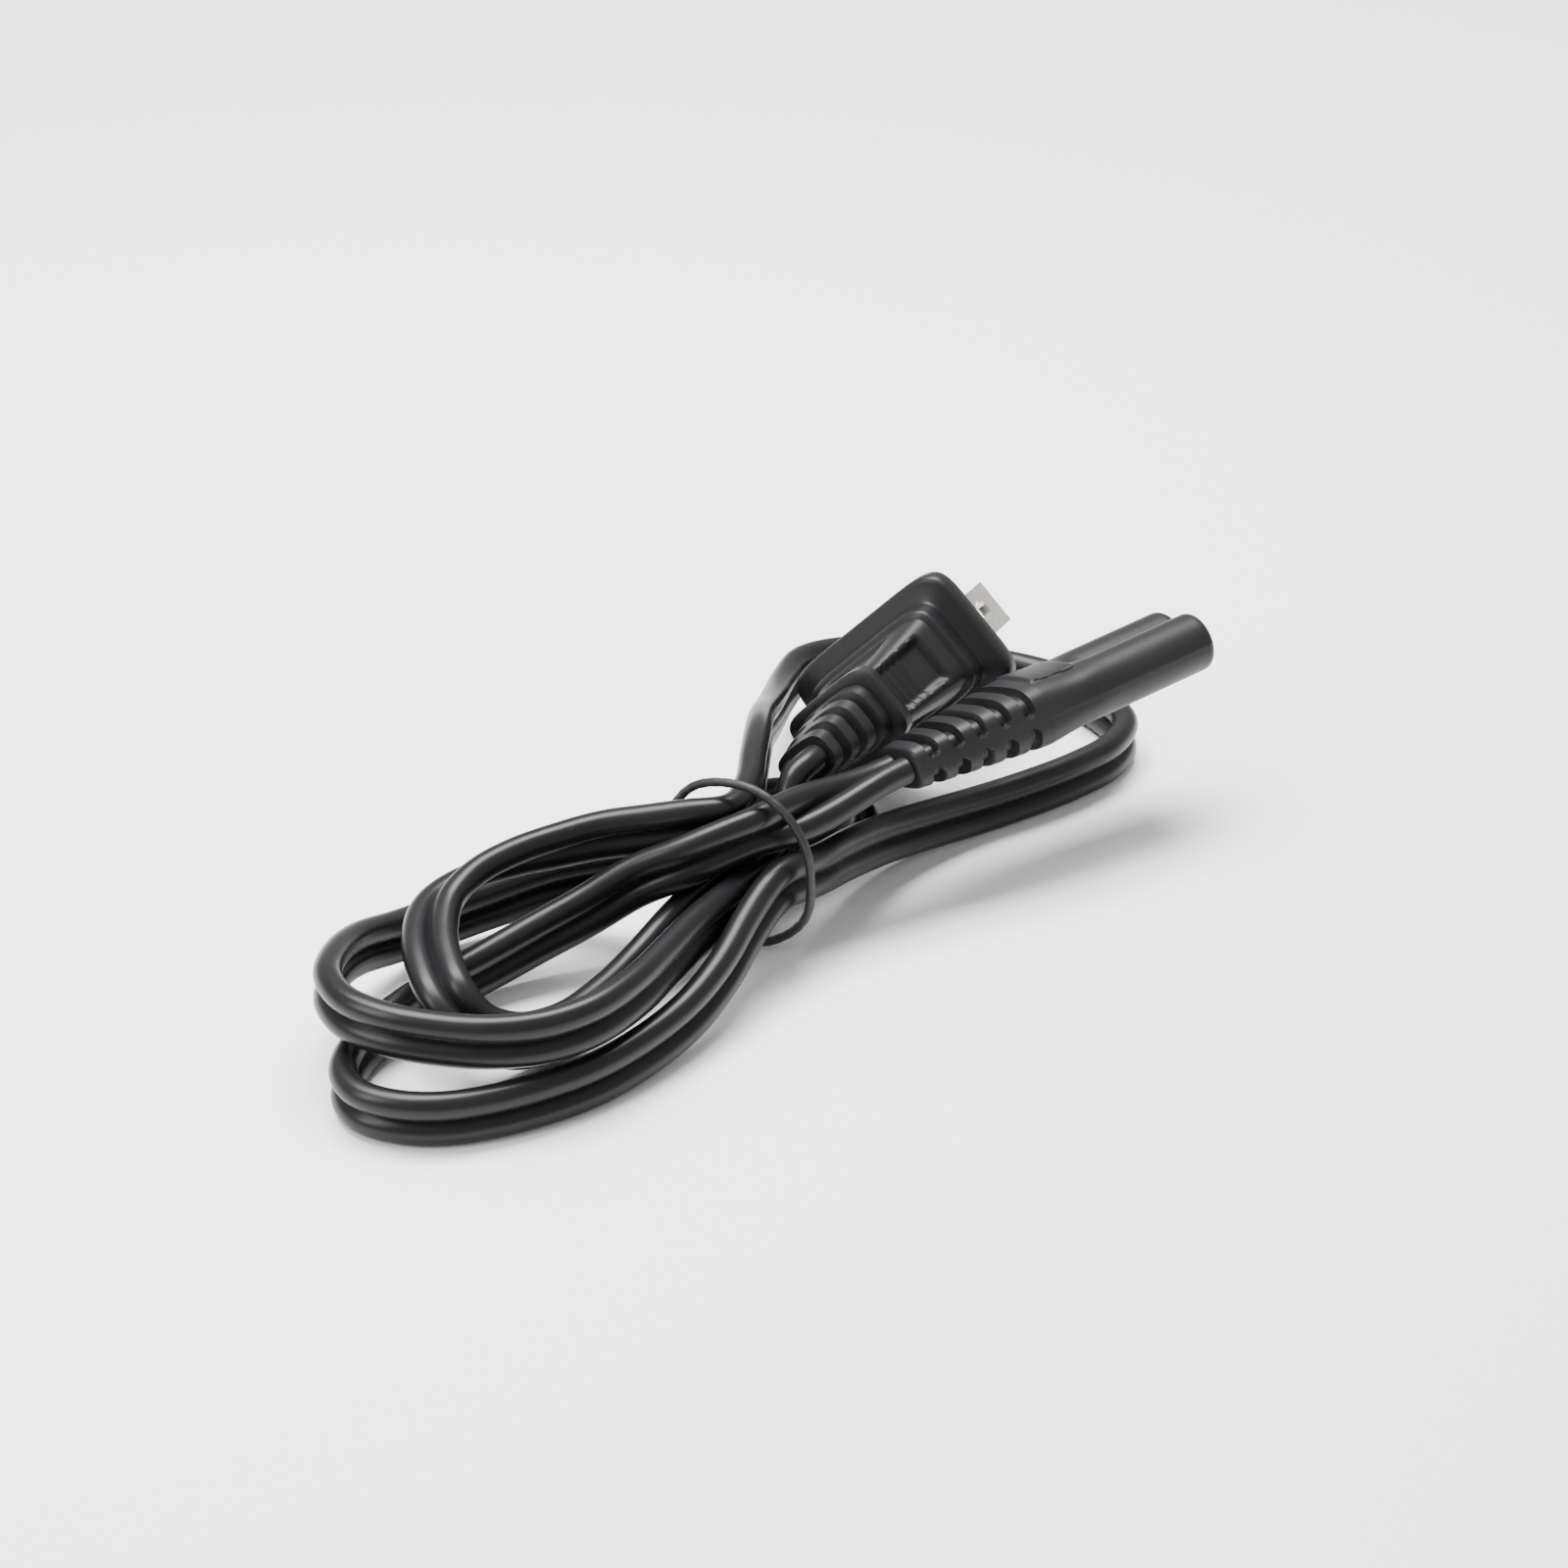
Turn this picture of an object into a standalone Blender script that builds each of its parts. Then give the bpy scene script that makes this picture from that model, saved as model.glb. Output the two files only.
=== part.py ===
# A power cord: a flat two-core lead with a two-blade wall plug moulded on one end and
# a figure-eight appliance connector on the other, wound into a hank inside a thin elastic band.
# The hank lies along X on the floor, with the plug and the connector at its +X end.
# Sizes are in millimetres and angles in degrees; the meshes are made in metres.

import math

import bmesh
import bpy
import numpy as np
from mathutils import Matrix
from mathutils import Vector

metresPerMm = 0.001
fitGap = 0.3

# Where the hank lies: moves every place below so that the origin is under the middle of the whole
hankShift = (-7.19, -7.69, 0.01)

# The flat cord
cordWidth = 6.8
cordThickness = 3.4
cordWaist = 2.3
cordStep = 5.0
cordLead = 2.4
coreSides = 5

# The appliance connector
connectorLength = 45.0
connectorLobeDiameter = 7.6
connectorLobeSpacing = 6.2
connectorWaist = 5.2
connectorShoulderWidth = 13.6
connectorShoulderThickness = 8.6
connectorTailWidth = 8.0
connectorTailThickness = 5.4
connectorReliefLength = 18.5
connectorRibCount = 5
connectorGrooveDepth = 1.3
connectorNoseRadius = 0.8
contactSpacing = 8.6
contactHoleDiameter = 3.6
contactHoleDepth = 14.0
sleeveInnerDiameter = 2.4
sleeveLength = 12.5

# The wall plug
plugFlangeWidth = 28.0
plugFlangeHeight = 18.2
plugFlangeThickness = 3.0
plugBodyWidth = 22.4
plugBodyHeight = 13.0
plugBodyLength = 16.0
plugNeckWidth = 12.4
plugNeckHeight = 8.6
plugCollarWidth = 15.0
plugCollarHeight = 10.6
plugCollarThickness = 2.4
plugReliefLength = 12.0
plugTailWidth = 8.0
plugTailHeight = 5.2
plugRibCount = 3
plugGrooveDepth = 1.1
bladeSpacing = 12.7
bladeWidth = 6.35
bladeThickness = 1.5
bladeReach = 17.0
bladePocketDepth = 3.0
bladeTipBevel = 1.2
bladeHoleDiameter = 3.1
bladeHoleFromTip = 4.4

# The elastic band round the middle of the hank
bandDiameter = 1.1
bandSides = 8
bandPoints = 28

# Where the connector and the plug lie, and how they are rolled about their own length
connectorTail = (22.0, -6.4, 18.2)
connectorTip = (65.6, -14.2, 22.2)
connectorRoll = -22.0
plugTail = (14.8, 2.6, 18.2)
plugFace = (44.8, 13.2, 15.2)
plugRoll = 133.5

# The cord's route from the connector to the plug: x, y, z and how far the flat cord leans from standing on edge
cordRoute = [
    (16.0, -5.6, 17.8, -104),
    (11.0, -4.9, 17.5, -76),
    (5.5, -3.9, 17.1, -34),
    (0.0, -3.0, 17.0, 0),
    (-4.0, -1.5, 16.2, 0),
    (-8.0, 1.2, 14.4, 0),
    (-12.0, 5.0, 12.0, 0),
    (-17.1, 7.9, 9.0, 0),
    (-22.8, 10.5, 6.6, 0),
    (-29.3, 12.3, 4.8, 0),
    (-36.0, 13.3, 3.8, 0),
    (-42.6, 13.0, 3.4, 0),
    (-48.1, 11.8, 3.4, 0),
    (-52.9, 9.7, 3.4, 0),
    (-56.5, 6.6, 3.4, 0),
    (-57.8, 2.6, 3.4, 0),
    (-56.5, -1.8, 3.4, 0),
    (-53.1, -6.0, 3.4, 0),
    (-48.2, -9.0, 3.4, 0),
    (-42.5, -11.2, 3.4, 0),
    (-36.2, -12.6, 3.4, 0),
    (-28.4, -13.0, 3.8, 0),
    (-20.0, -12.3, 4.8, 0),
    (-12.5, -10.5, 6.6, 0),
    (-6.0, -8.3, 9.0, 0),
    (0.0, -6.9, 10.9, 0),
    (7.6, -6.2, 9.8, 0),
    (15.6, -4.0, 7.8, 0),
    (23.8, -2.4, 5.8, 0),
    (32.5, -2.4, 4.3, 0),
    (40.3, -3.4, 3.5, 0),
    (47.7, -5.0, 3.4, 0),
    (56.0, -6.3, 3.4, 0),
    (63.0, -6.2, 3.4, 0),
    (68.5, -3.6, 3.4, 0),
    (71.0, 2.0, 3.45, 0),
    (72.0, 9.0, 3.5, 0),
    (70.0, 17.0, 3.6, 0),
    (65.6, 24.4, 4.0, 0),
    (60.0, 30.0, 4.8, 0),
    (53.4, 33.6, 6.0, 0),
    (46.4, 34.2, 7.1, 0),
    (40.0, 31.2, 7.8, 0),
    (34.0, 27.0, 9.2, 0),
    (28.0, 22.4, 11.4, 0),
    (22.0, 17.6, 14.2, 0),
    (16.4, 12.6, 16.4, 0),
    (11.0, 8.0, 17.1, 0),
    (5.5, 3.5, 17.0, 0),
    (0.0, 1.1, 17.0, 0),
    (-4.5, 3.7, 17.2, 2),
    (-8.2, 6.8, 16.8, 5),
    (-12.0, 10.4, 16.2, 10),
    (-16.4, 13.7, 15.2, 20),
    (-21.4, 16.6, 14.3, 35),
    (-26.8, 18.2, 13.4, 52),
    (-32.0, 17.4, 12.8, 68),
    (-36.6, 14.0, 12.3, 80),
    (-40.4, 9.0, 11.6, 84),
    (-42.6, 4.0, 10.2, 76),
    (-41.8, 0.8, 7.2, 52),
    (-38.0, -1.6, 4.6, 22),
    (-32.3, -2.6, 3.6, 4),
    (-24.0, -1.8, 3.8, 0),
    (-16.3, -0.2, 4.8, 0),
    (-8.6, 1.0, 6.8, 0),
    (0.0, 1.2, 9.0, 0),
    (8.0, 3.0, 5.4, 0),
    (14.0, 3.6, 4.0, 0),
    (20.0, 3.4, 3.6, 10),
    (25.6, 4.8, 2.9, 50),
    (29.6, 8.8, 2.3, 82),
    (29.8, 13.6, 2.3, 82),
    (26.0, 17.2, 3.0, 45),
    (20.6, 17.0, 4.0, 10),
    (15.4, 14.2, 5.6, 0),
    (10.0, 10.2, 8.4, 0),
    (5.0, 6.8, 10.8, 0),
    (0.0, 5.3, 12.0, 0),
    (-4.0, 6.8, 10.8, 0),
    (-8.0, 11.0, 9.5, 0),
    (-13.0, 17.2, 7.4, 0),
    (-19.0, 21.8, 5.2, 0),
    (-26.5, 24.0, 4.6, 0),
    (-34.0, 24.0, 5.6, 0),
    (-40.4, 22.6, 7.6, 0),
    (-47.0, 19.0, 9.6, 0),
    (-51.8, 14.4, 10.7, 0),
    (-53.6, 9.4, 10.9, 0),
    (-52.6, 3.6, 10.8, 0),
    (-49.4, -2.2, 10.6, 0),
    (-45.6, -7.0, 10.6, 0),
    (-41.0, -10.2, 10.6, 0),
    (-35.0, -11.8, 10.7, 0),
    (-27.3, -11.0, 10.7, 0),
    (-20.0, -8.6, 10.4, 0),
    (-12.0, -5.8, 10.0, 0),
    (-5.0, -3.9, 9.5, 0),
    (0.0, -2.9, 9.5, 0),
    (4.0, -2.2, 10.0, 0),
    (7.2, -0.4, 11.9, -2),
    (9.4, 0.9, 14.8, -8),
    (11.6, 1.9, 17.4, -24),
]

# The band's route: a slack oval in a plane turned a little from square to the hank
bandTurn = -15.0
bandCentre = (0.0, 0.1)
bandOutline = [
    (0.0, 0.9),
    (4.0, 1.6),
    (7.6, 4.2),
    (9.6, 8.4),
    (9.9, 12.6),
    (8.6, 17.0),
    (5.6, 20.6),
    (1.4, 22.2),
    (-3.0, 22.2),
    (-6.8, 20.2),
    (-9.6, 16.2),
    (-10.3, 11.6),
    (-9.7, 6.8),
    (-6.8, 3.2),
    (-3.6, 1.3),
]


def clearScene():
    """Removes whatever the file holds, so that only this part is left."""
    for old in list(bpy.data.objects):
        bpy.data.objects.remove(old, do_unlink=True)


def makeMaterial(name, colour, roughness, metallic=0.0):
    """One Principled material."""
    material = bpy.data.materials.new(name)
    material.use_nodes = True
    shader = material.node_tree.nodes["Principled BSDF"]
    shader.inputs["Base Color"].default_value = (*colour, 1.0)
    shader.inputs["Roughness"].default_value = roughness
    shader.inputs["Metallic"].default_value = metallic
    return material


def addObject(name, mesh, material, smoothAngle=35.0):
    """Puts a finished mesh into the scene under its own name and material."""
    mesh.materials.append(material)
    mesh.shade_smooth()
    mesh.set_sharp_from_angle(angle=math.radians(smoothAngle))
    made = bpy.data.objects.new(name, mesh)
    bpy.context.scene.collection.objects.link(made)
    return made


def skinRings(name, rings, closed=False):
    """A mesh through a row of rings with equal point counts, capped at both ends unless the row is closed."""
    shape = bmesh.new()
    rows = [[shape.verts.new(Vector(point) * metresPerMm) for point in ring] for ring in rings]
    count = len(rows[0])
    pairs = list(zip(rows, rows[1:]))
    if closed:
        pairs.append((rows[-1], rows[0]))
    for near, far in pairs:
        for i in range(count):
            j = (i + 1) % count
            shape.faces.new((near[i], near[j], far[j], far[i]))
    if not closed:
        shape.faces.new(rows[0])
        shape.faces.new(list(reversed(rows[-1])))
    bmesh.ops.recalc_face_normals(shape, faces=shape.faces[:])
    mesh = bpy.data.meshes.new(name)
    shape.to_mesh(mesh)
    shape.free()
    return mesh


def smoothRoute(points, spacing):
    """Reads a smooth curve through the points at even steps: a cubic whose slope at each point follows its neighbours."""
    given = np.array(points, float)
    steps = np.linalg.norm(np.diff(given[:, :3], axis=0), axis=1)
    at = np.concatenate([[0.0], np.cumsum(steps)])
    slope = np.gradient(given, at, axis=0)
    fine = np.linspace(0.0, at[-1], 40 * len(given))
    i = np.clip(np.searchsorted(at, fine, side="right") - 1, 0, len(given) - 2)
    span = (at[i + 1] - at[i])[:, None]
    u = ((fine - at[i])[:, None]) / span
    curve = (
        (2 * u**3 - 3 * u**2 + 1) * given[i]
        + (u**3 - 2 * u**2 + u) * span * slope[i]
        + (3 * u**2 - 2 * u**3) * given[i + 1]
        + (u**3 - u**2) * span * slope[i + 1]
    )
    along = np.concatenate([[0.0], np.cumsum(np.linalg.norm(np.diff(curve[:, :3], axis=0), axis=1))])
    even = np.linspace(0.0, along[-1], max(2, round(along[-1] / spacing) + 1))
    return np.stack([np.interp(even, along, curve[:, k]) for k in range(curve.shape[1])], axis=1)


def cordSection():
    """The outline across the cord: two round cores side by side, with a shallow groove between them."""
    radius = cordThickness / 2
    centre = (cordWidth - cordThickness) / 2
    half = [math.radians(-90 + 180 * k / (coreSides - 1)) for k in range(coreSides)]
    right = [(centre + radius * math.cos(a), radius * math.sin(a)) for a in half]
    left = [(-across, -out) for across, out in right]
    return right + [(0.0, cordWaist / 2)] + left + [(0.0, -cordWaist / 2)]


def sweepCord(route, firstAhead, lastAhead):
    """Carries the cord's section along the route, turned to each point's lean and square to both mouldings."""
    outline = cordSection()
    places = route[:, :3]
    tangents = np.gradient(places, axis=0)
    tangents[0] = firstAhead
    tangents[-1] = lastAhead
    rings = []
    for place, tangent, lean in zip(places, tangents, np.radians(route[:, 3])):
        ahead = Vector(tangent).normalized()
        left = Vector((0, 0, 1)).cross(ahead).normalized()
        upright = ahead.cross(left)
        wide = upright * math.cos(lean) + left * math.sin(lean)
        thick = ahead.cross(wide)
        rings.append([Vector(place) + wide * a + thick * b for a, b in outline])
    return skinRings("cord", rings)


def frameAlong(start, end, roll):
    """A right-handed frame at start: X towards end, Y level before it is rolled about X."""
    ahead = (Vector(end) - Vector(start)).normalized()
    side = Vector((0, 0, 1)).cross(ahead).normalized()
    over = ahead.cross(side)
    square = Matrix((ahead, side, over)).transposed()
    return square.to_4x4() @ Matrix.Rotation(math.radians(roll), 4, "X")


def setPlace(made, start, end, roll):
    """Moves an object made along its own X so that it runs from start towards end."""
    made.rotation_euler = frameAlong(start, end, roll).to_euler()
    made.location = (Vector(start) + Vector(hankShift)) * metresPerMm


def roundedRadius(angle, width, height, squareness):
    """Distance from the middle to a rounded rectangle's edge, a superellipse, in the given direction."""
    across = abs(math.cos(angle)) / (width / 2)
    up = abs(math.sin(angle)) / (height / 2)
    return (across**squareness + up**squareness) ** (-1 / squareness)


def eightRadius(angle):
    """Distance from the middle to the edge of two touching lobes with a filled waist."""
    radius = connectorLobeDiameter / 2
    centre = connectorLobeSpacing / 2
    reach = radius**2 - (centre * math.sin(angle)) ** 2
    return max(centre * abs(math.cos(angle)) + math.sqrt(max(reach, 0.0)), connectorWaist / 2)


def ringOf(x, radiusAt, sides, inset=0.0):
    """A ring of points round the X axis at x, from a radius for each direction, drawn in by inset."""
    ring = []
    for k in range(sides):
        angle = 2 * math.pi * k / sides
        radius = radiusAt(angle) - inset
        ring.append((x, radius * math.cos(angle), radius * math.sin(angle)))
    return ring


def ribbedRings(length, count, grooveDepth, sizeAt, squareness, sides):
    """Rings of a tapered strain relief: ribs between square grooves that stop at a spine along each side."""
    pitch = length / (count + 0.5)
    ribShare = 0.5
    rings = []
    for k in range(count):
        for x, depth in (
            (k * pitch, 0.0),
            ((k + ribShare) * pitch, 0.0),
            ((k + ribShare) * pitch + 0.05, grooveDepth),
            ((k + 1) * pitch - 0.05, grooveDepth),
        ):
            width, height = sizeAt(x / length)

            def radiusAt(angle):
                full = roundedRadius(angle, width, height, squareness)
                cut = min(1.0, max(0.0, (abs(full * math.sin(angle)) / (height / 2) - 0.3) / 0.2))
                return full - depth * cut

            rings.append(ringOf(x, radiusAt, sides))
    return rings


def cutWith(target, cutters):
    """Subtracts each cutter with a Boolean, and hides the cutters."""
    for cutter in cutters:
        cutter.hide_render = True
        cutter.display_type = "WIRE"
        cut = target.modifiers.new("cut_" + cutter.name, "BOOLEAN")
        cut.operation = "DIFFERENCE"
        cut.solver = "EXACT"
        cut.object = cutter


def roundBar(name, start, length, outer, sides=20, inner=0.0):
    """A round bar along X from start, or a tube when it has an inner diameter."""
    shape = bmesh.new()
    for x, diameter in ((start, outer), (start + length, outer), (start + length, inner), (start, inner)):
        if diameter > 0.0:
            for k in range(sides):
                a = 2 * math.pi * k / sides
                spot = Vector((x, diameter / 2 * math.cos(a), diameter / 2 * math.sin(a)))
                shape.verts.new(spot * metresPerMm)
    points = list(shape.verts)
    rows = [points[k : k + sides] for k in range(0, len(points), sides)]
    pairs = list(zip(rows, rows[1:] + rows[:1])) if inner > 0.0 else [(rows[0], rows[1])]
    for near, far in pairs:
        for i in range(sides):
            j = (i + 1) % sides
            shape.faces.new((near[i], near[j], far[j], far[i]))
    if inner <= 0.0:
        shape.faces.new(rows[0])
        shape.faces.new(list(reversed(rows[1])))
    bmesh.ops.recalc_face_normals(shape, faces=shape.faces[:])
    mesh = bpy.data.meshes.new(name)
    shape.to_mesh(mesh)
    shape.free()
    return mesh


def boxMesh(name, low, high, tipBevel=0.0):
    """A box between two corners, with the long edges of its +X end bevelled."""
    shape = bmesh.new()
    bmesh.ops.create_cube(shape, size=1.0)
    for corner in shape.verts:
        share = [c + 0.5 for c in corner.co]
        corner.co = Vector([(a + s * (b - a)) * metresPerMm for a, b, s in zip(low, high, share)])
    if tipBevel > 0.0:
        tip = [e for e in shape.edges if all(v.co.x > (high[0] - 0.01) * metresPerMm for v in e.verts)]
        ends = [e for e in tip if abs(e.verts[0].co.y - e.verts[1].co.y) < 1e-9]
        bmesh.ops.bevel(shape, geom=ends, offset=tipBevel * metresPerMm * 0.4, segments=1, affect="EDGES")
    bmesh.ops.recalc_face_normals(shape, faces=shape.faces[:])
    mesh = bpy.data.meshes.new(name)
    shape.to_mesh(mesh)
    shape.free()
    return mesh


def makeConnector(material, holeMaterial):
    """The figure-eight connector: ribbed strain relief, shoulder and two lobes with a contact hole in each."""
    sides = 32

    def sizeAt(share):
        grow = share**0.8
        width = connectorTailWidth + (connectorShoulderWidth - connectorTailWidth) * grow
        height = connectorTailThickness + (connectorShoulderThickness - connectorTailThickness) * grow
        return width, height

    rings = ribbedRings(
        connectorReliefLength, connectorRibCount, connectorGrooveDepth, sizeAt, 3.6, sides
    )
    shoulderEnd = connectorReliefLength + 0.4 * (connectorLength - connectorReliefLength)
    for share in (0.0, 0.35, 0.7, 1.0):
        x = connectorReliefLength - 0.05 + share * (shoulderEnd - connectorReliefLength)
        blend = share * share * (3 - 2 * share)

        def radiusAt(angle):
            boxy = roundedRadius(angle, connectorShoulderWidth, connectorShoulderThickness, 3.2)
            return boxy * (1 - blend) + eightRadius(angle) * blend

        rings.append(ringOf(x, radiusAt, sides))
    nose = connectorLength - connectorNoseRadius
    rings.append(ringOf(nose, eightRadius, sides))
    rings.append(ringOf(connectorLength - 0.3 * connectorNoseRadius, eightRadius, sides, 0.3 * connectorNoseRadius))
    rings.append(ringOf(connectorLength, eightRadius, sides, connectorNoseRadius))
    body = addObject("connector_body", skinRings("connector_body", rings), material)
    cutters = []
    pieces = [body]
    for side, label in ((-1, "left"), (1, "right")):
        offset = Matrix.Translation((0, side * contactSpacing / 2 * metresPerMm, 0))
        start = connectorLength - contactHoleDepth
        hole = roundBar("hole_" + label, start, contactHoleDepth + 2.0, contactHoleDiameter)
        hole.transform(offset)
        cutter = addObject("contact_hole_" + label, hole, holeMaterial)
        cutters.append(cutter)
        outer = contactHoleDiameter - 2 * fitGap
        sleeve = roundBar("sleeve", start + fitGap, sleeveLength, outer, 16, sleeveInnerDiameter)
        sleeve.transform(offset)
        pieces.append(addObject("contact_sleeve_" + label, sleeve, holeMaterial))
    cutWith(body, cutters)
    for piece in pieces + cutters:
        setPlace(piece, connectorTail, connectorTip, connectorRoll)


def makePlug(material, bladeMaterial):
    """The wall plug: ribbed strain relief, collar, widening body, square flange and two flat blades."""
    sides = 32
    faceX = (Vector(plugFace) - Vector(plugTail)).length

    def sizeAt(share):
        width = plugTailWidth + (plugNeckWidth - plugTailWidth) * share
        height = plugTailHeight + (plugNeckHeight - plugTailHeight) * share
        return width, height

    rings = ribbedRings(plugReliefLength, plugRibCount, plugGrooveDepth, sizeAt, 3.4, sides)
    flangeBack = faceX - plugFlangeThickness
    collarEnd = plugReliefLength + plugCollarThickness
    bodyStart = flangeBack - plugBodyLength
    stations = [
        (plugReliefLength - 0.05, plugNeckWidth, plugNeckHeight, 3.4),
        (plugReliefLength, plugCollarWidth, plugCollarHeight, 4.6),
        (collarEnd, plugCollarWidth, plugCollarHeight, 4.6),
        (max(bodyStart, collarEnd) + 0.05, plugNeckWidth, plugNeckHeight, 3.6),
        (flangeBack - 2.0, plugBodyWidth, plugBodyHeight, 4.6),
        (flangeBack - 0.05, plugBodyWidth + 1.0, plugBodyHeight + 1.0, 5.0),
        (flangeBack, plugFlangeWidth - 0.8, plugFlangeHeight - 0.8, 7.0),
        (flangeBack + 0.4, plugFlangeWidth, plugFlangeHeight, 7.0),
        (faceX - 0.5, plugFlangeWidth, plugFlangeHeight, 7.0),
        (faceX, plugFlangeWidth - 1.0, plugFlangeHeight - 1.0, 7.0),
    ]
    for x, width, height, squareness in stations:
        rings.append(ringOf(x, lambda a: roundedRadius(a, width, height, squareness), sides))
    body = addObject("plug_body", skinRings("plug_body", rings), material)
    pieces = [body]
    cutters = []
    for side, label in ((-1, "left"), (1, "right")):
        middle = side * bladeSpacing / 2
        halfThick = bladeThickness / 2
        halfWide = bladeWidth / 2
        pocketBack = faceX - bladePocketDepth
        pocket = boxMesh(
            "pocket",
            (pocketBack, middle - halfThick - fitGap, -halfWide - fitGap),
            (faceX + 1.0, middle + halfThick + fitGap, halfWide + fitGap),
        )
        cutters.append(addObject("blade_pocket_" + label, pocket, bladeMaterial))
        blade = boxMesh(
            "blade",
            (pocketBack + fitGap, middle - halfThick, -halfWide),
            (faceX + bladeReach, middle + halfThick, halfWide),
            bladeTipBevel,
        )
        bladeObject = addObject("blade_" + label, blade, bladeMaterial)
        holeX = faceX + bladeReach - bladeHoleFromTip
        drill = roundBar("drill", -bladeThickness, 2 * bladeThickness, bladeHoleDiameter, 16)
        drill.transform(Matrix.Rotation(math.radians(90), 4, "Z"))
        drill.transform(Matrix.Translation(Vector((holeX, middle, 0)) * metresPerMm))
        drillObject = addObject("blade_drill_" + label, drill, bladeMaterial)
        cutWith(bladeObject, [drillObject])
        pieces += [bladeObject, drillObject]
    cutWith(body, cutters)
    for piece in pieces + cutters:
        setPlace(piece, plugTail, plugFace, plugRoll)


def makeCord(material):
    """The whole flat cord, from a small gap behind the connector to a small gap behind the plug."""
    connectorAhead = (Vector(connectorTip) - Vector(connectorTail)).normalized()
    plugAhead = (Vector(plugFace) - Vector(plugTail)).normalized()
    starts = [Vector(connectorTail) - connectorAhead * back for back in (fitGap, cordLead)]
    ends = [Vector(plugTail) - plugAhead * back for back in (cordLead / 2, fitGap)]
    points = [(*spot, connectorRoll - 90) for spot in starts]
    points += cordRoute + [(*spot, 90 - plugRoll) for spot in ends]
    route = smoothRoute(points, cordStep)
    cord = addObject("cord", sweepCord(route, -connectorAhead, plugAhead), material, 50.0)
    cord.location = Vector(hankShift) * metresPerMm


def closedLoop(points, count):
    """Reads a smooth closed curve through the points at even steps."""
    given = np.array(points, float)
    ahead = np.roll(given, -1, axis=0)
    slope = (ahead - np.roll(given, 1, axis=0)) / 2
    pieces = []
    for u in np.arange(0.0, 1.0, 0.05):
        start = (2 * u**3 - 3 * u**2 + 1) * given + (u**3 - 2 * u**2 + u) * slope
        end = (3 * u**2 - 2 * u**3) * ahead + (u**3 - u**2) * np.roll(slope, -1, axis=0)
        pieces.append(start + end)
    curve = np.stack(pieces, axis=1).reshape(-1, given.shape[1])
    curve = np.vstack([curve, curve[:1]])
    along = np.concatenate([[0.0], np.cumsum(np.linalg.norm(np.diff(curve, axis=0), axis=1))])
    even = np.linspace(0.0, along[-1], count + 1)[:-1]
    return np.stack([np.interp(even, along, curve[:, k]) for k in range(curve.shape[1])], axis=1)


def makeBand(material):
    """The thin elastic band: a round section carried round its outline."""
    turn = math.radians(bandTurn)
    square = Vector((math.cos(turn), -math.sin(turn), 0.0))
    loop = closedLoop(bandOutline, bandPoints)
    line = [Vector((out * math.sin(turn), out * math.cos(turn), high)) for out, high in loop]
    rings = []
    for k in range(bandPoints):
        ahead = (line[(k + 1) % bandPoints] - line[k - 1]).normalized()
        out = ahead.cross(square).normalized()
        ring = []
        for i in range(bandSides):
            angle = 2 * math.pi * i / bandSides
            ring.append(line[k] + (square * math.cos(angle) + out * math.sin(angle)) * bandDiameter / 2)
        rings.append(ring)
    band = addObject("tie_band", skinRings("tie_band", rings, closed=True), material, 60.0)
    band.location = (Vector((*bandCentre, 0.0)) + Vector(hankShift)) * metresPerMm


clearScene()
cordBlack = makeMaterial("cord_pvc", (0.016, 0.016, 0.018), 0.32)
mouldBlack = makeMaterial("moulded_pvc", (0.024, 0.024, 0.026), 0.5)
metal = makeMaterial("plated_brass", (0.78, 0.74, 0.64), 0.28, 1.0)
bandBlack = makeMaterial("band_rubber", (0.02, 0.02, 0.021), 0.6)
makeConnector(mouldBlack, metal)
makePlug(mouldBlack, metal)
makeCord(cordBlack)
makeBand(bandBlack)
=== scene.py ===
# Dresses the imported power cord: the flat cord along its whole route, the two mouldings with
# their ribs and recesses, the band, the metal, and a plain pale studio.
# Places are in millimetres here and go into the meshes in metres.
import math
import bpy
import numpy as np
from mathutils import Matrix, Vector


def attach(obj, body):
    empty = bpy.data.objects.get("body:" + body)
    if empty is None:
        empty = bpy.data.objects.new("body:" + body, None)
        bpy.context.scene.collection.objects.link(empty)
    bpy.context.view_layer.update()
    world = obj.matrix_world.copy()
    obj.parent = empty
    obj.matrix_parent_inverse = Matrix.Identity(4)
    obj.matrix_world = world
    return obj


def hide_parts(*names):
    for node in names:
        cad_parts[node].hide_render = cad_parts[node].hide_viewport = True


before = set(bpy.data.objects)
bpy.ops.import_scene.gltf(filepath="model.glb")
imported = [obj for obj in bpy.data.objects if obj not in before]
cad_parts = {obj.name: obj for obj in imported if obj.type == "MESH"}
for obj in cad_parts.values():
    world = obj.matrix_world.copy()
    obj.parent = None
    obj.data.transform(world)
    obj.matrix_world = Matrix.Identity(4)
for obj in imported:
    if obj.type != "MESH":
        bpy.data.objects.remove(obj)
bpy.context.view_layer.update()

mm = 0.001
hankShift = np.array([-7.19, -7.69, 0.01])

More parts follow.
